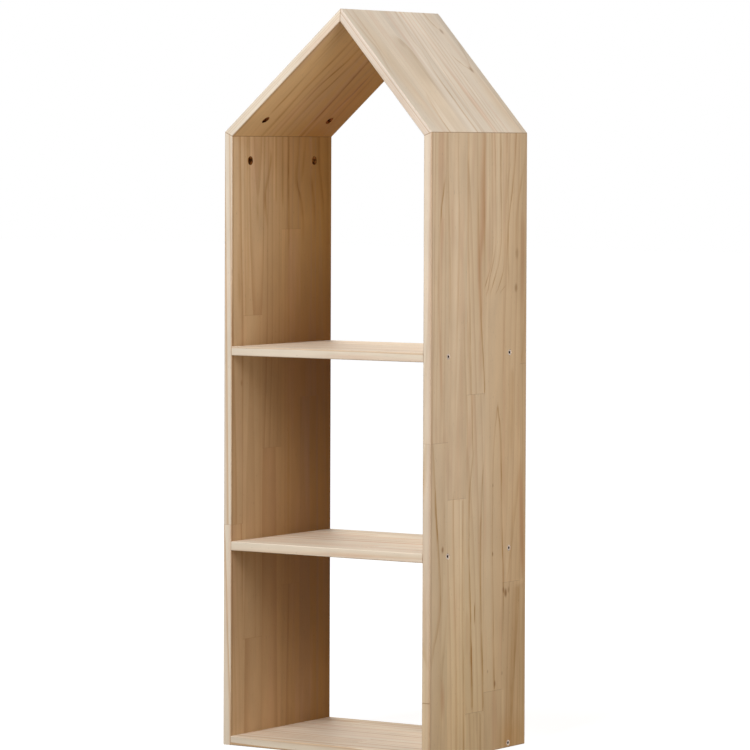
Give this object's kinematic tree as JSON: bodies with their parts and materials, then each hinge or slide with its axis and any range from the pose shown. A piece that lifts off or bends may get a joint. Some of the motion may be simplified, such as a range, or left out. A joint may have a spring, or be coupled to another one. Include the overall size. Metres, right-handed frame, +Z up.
{
  "type": "kids storage shelf",
  "caption": "Open house-shaped storage shelf for a child's room, with mitred pine side panels and roof boards around level shelves.",
  "frame": {"origin": "middle of the rectangular footprint, on the floor", "axes": "+Z up, -Y out of the front, +X to the viewer's right seen from the front"},
  "size_m": [0.4, 0.29, 1.1972],
  "materials": {
    "pine": "edge-glued pine, sanded, clear matt finish",
    "screw_steel": "zinc-plated, dull",
    "cam_zinc": "die-cast zinc, dark and dull",
    "bolt_steel": "zinc-plated",
    "dowel_beech": "plain beech"
  },
  "bodies": {
    "root": {"side_panel_left": "pine", "side_panel_right": "pine", "roof_board_left": "pine", "roof_board_right": "pine", "bottom_shelf": "pine", "middle_shelf": "pine", "top_shelf": "pine", "bottom_shelf_screws_left": "screw_steel", "bottom_shelf_screws_right": "screw_steel", "middle_shelf_screws_left": "screw_steel", "middle_shelf_screws_right": "screw_steel", "top_shelf_screws_left": "screw_steel", "top_shelf_screws_right": "screw_steel", "side_cams_left": "cam_zinc", "side_cams_right": "cam_zinc", "roof_cams_left": "cam_zinc", "roof_cams_right": "cam_zinc", "side_bolt_arms_left": "bolt_steel", "side_bolt_arms_right": "bolt_steel", "roof_bolt_arms_left": "bolt_steel", "roof_bolt_arms_right": "bolt_steel", "bolt_pins_left": "bolt_steel", "bolt_pins_right": "bolt_steel", "ridge_dowels": "dowel_beech"}
  },
  "joints": []
}
